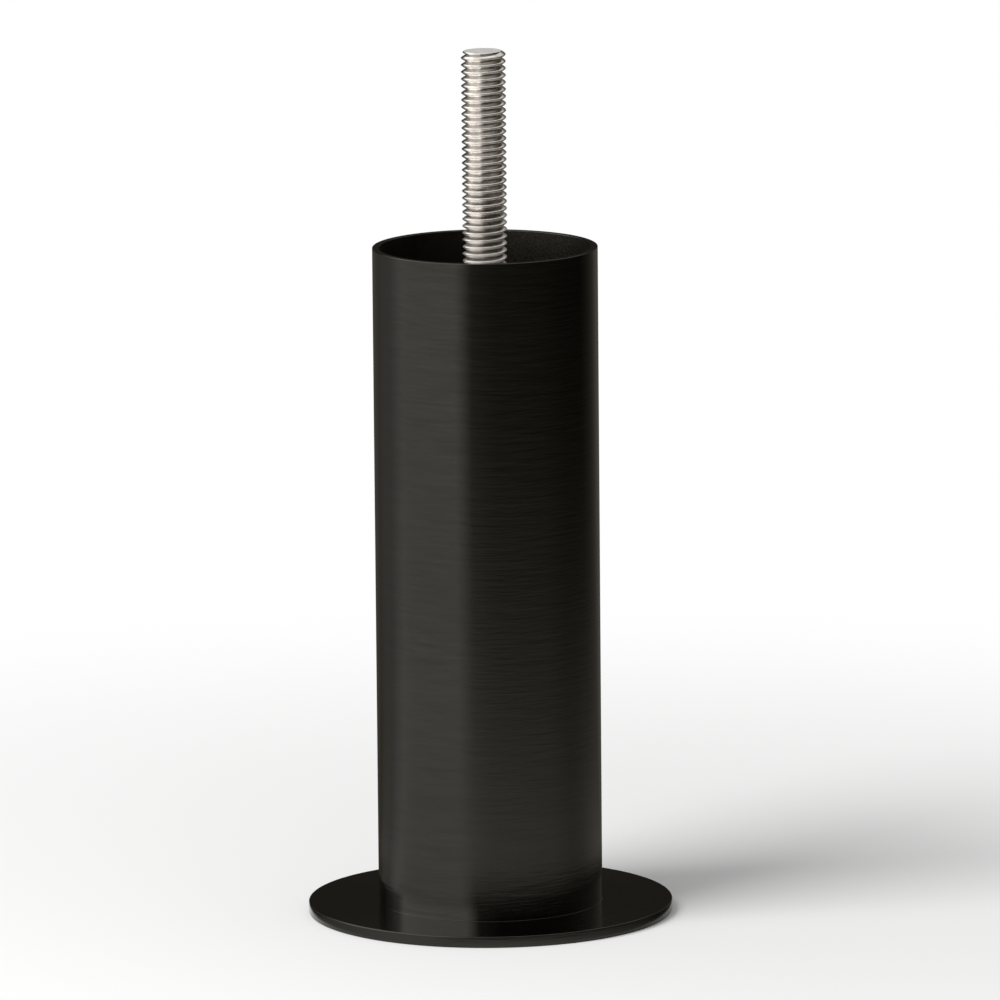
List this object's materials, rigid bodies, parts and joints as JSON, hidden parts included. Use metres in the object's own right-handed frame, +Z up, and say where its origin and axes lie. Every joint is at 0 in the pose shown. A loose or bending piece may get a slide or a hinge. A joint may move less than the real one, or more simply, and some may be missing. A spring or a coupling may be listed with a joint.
{
  "type": "furniture leg",
  "caption": "Round tubular metal furniture leg on a wider flat foot disc, with a threaded stud on top that screws into the furniture.",
  "frame": {"origin": "centre of the foot disc's underside, on the floor", "axes": "+Z up the tube's axis, towards the stud; X and Y lie on the floor, with a flat of each nut towards +X"},
  "size_m": [0.065, 0.065, 0.155],
  "materials": {
    "brushed_black": "black, satin, with fine brush lines that run round the tube and across the disc",
    "black_coat": "black, plain, not brushed",
    "bright_zinc": "bright zinc plate"
  },
  "bodies": {
    "root": {"foot_disc": "brushed_black", "leg_tube": "brushed_black", "stud_plate": "black_coat", "tack_welds": "black_coat", "weld_nut": "black_coat", "lock_nut": "bright_zinc", "threaded_stud": "bright_zinc"}
  },
  "joints": []
}
